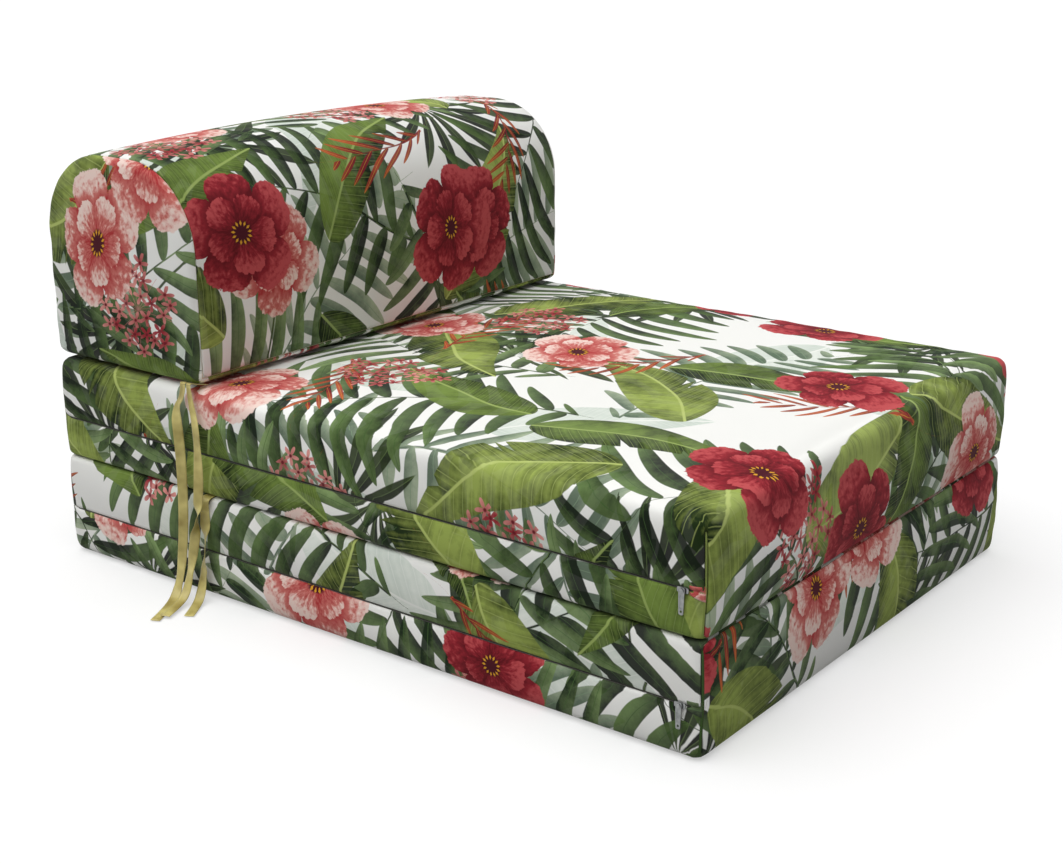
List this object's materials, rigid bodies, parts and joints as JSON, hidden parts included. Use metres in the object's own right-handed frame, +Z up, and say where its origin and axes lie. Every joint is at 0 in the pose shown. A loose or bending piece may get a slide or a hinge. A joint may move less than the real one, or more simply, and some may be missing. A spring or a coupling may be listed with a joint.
{
  "type": "chair bed",
  "caption": "Foam chair that folds out into a bed: stacked slabs, a bolster backrest, printed fabric covers, zips and ribbon ties.",
  "frame": {"origin": "middle of the footprint of the stacked slabs, on the floor", "axes": "+Z up, the chair faces -Y, its left side with the zips and ties is at -X, +Y is the slabs' long side"},
  "size_m": [0.6723, 0.8008, 0.441],
  "materials": {
    "printed_cover": "matte",
    "foam": "matte",
    "zip_tape": "matte",
    "zip_metal": "satin",
    "hinge_tape": "matte",
    "ribbon": "satin"
  },
  "bodies": {
    "base": {"base_foam": "foam", "base_top_panel": "printed_cover", "base_bottom_panel": "printed_cover", "base_right_gusset": "printed_cover", "base_rear_gusset": "printed_cover", "base_zip_chain": "zip_tape", "base_zip_stops": "zip_metal", "front_hinge_lower_leaf": "hinge_tape", "base_tie_tab": "ribbon", "base_tie_tail": "ribbon"},
    "seat": {"seat_foam": "foam", "seat_top_panel": "printed_cover", "seat_bottom_panel": "printed_cover", "seat_right_gusset": "printed_cover", "seat_rear_gusset": "printed_cover", "seat_zip_chain": "zip_tape", "seat_zip_stops": "zip_metal", "front_hinge_upper_leaf": "hinge_tape", "rear_hinge_lower_leaf": "hinge_tape"},
    "backrest": {"backrest_foam": "foam", "backrest_wrap_panel": "printed_cover", "backrest_left_end_panel": "printed_cover", "backrest_right_end_panel": "printed_cover", "backrest_bottom_panel": "printed_cover", "rear_hinge_upper_leaf": "hinge_tape", "backrest_tie_tab": "ribbon", "backrest_tie_rear_tail": "ribbon", "backrest_tie_front_tail": "ribbon"},
    "base_slider": {"base_zip_slider": "zip_metal"},
    "base_pull": {"base_zip_pull": "zip_metal"},
    "seat_slider": {"seat_zip_slider": "zip_metal"},
    "seat_pull": {"seat_zip_pull": "zip_metal"}
  },
  "joints": [
    {"name": "seat_fold", "type": "hinge", "parent": "base", "child": "seat", "pos_m": [0, -0.40075, 0.10875], "axis": [1, 0, 0], "range_deg": [0, 180]},
    {"name": "backrest_fold", "type": "hinge", "parent": "seat", "child": "backrest", "pos_m": [0, 0.40075, 0.21825], "axis": [-1, 0, 0], "range_deg": [0, 180]},
    {"name": "base_zip_slide", "type": "slide", "parent": "base", "child": "base_slider", "axis": [0, 1, 0], "range_m": [0, 0.752]},
    {"name": "base_pull_swing", "type": "hinge", "parent": "base_slider", "child": "base_pull", "pos_m": [-0.301, -0.377, 0.05], "axis": [1, 0, 0], "range_deg": [-90, 90]},
    {"name": "seat_zip_slide", "type": "slide", "parent": "seat", "child": "seat_slider", "axis": [0, 1, 0], "range_m": [0, 0.752]},
    {"name": "seat_pull_swing", "type": "hinge", "parent": "seat_slider", "child": "seat_pull", "pos_m": [-0.301, -0.377, 0.1515], "axis": [1, 0, 0], "range_deg": [-90, 90]}
  ]
}
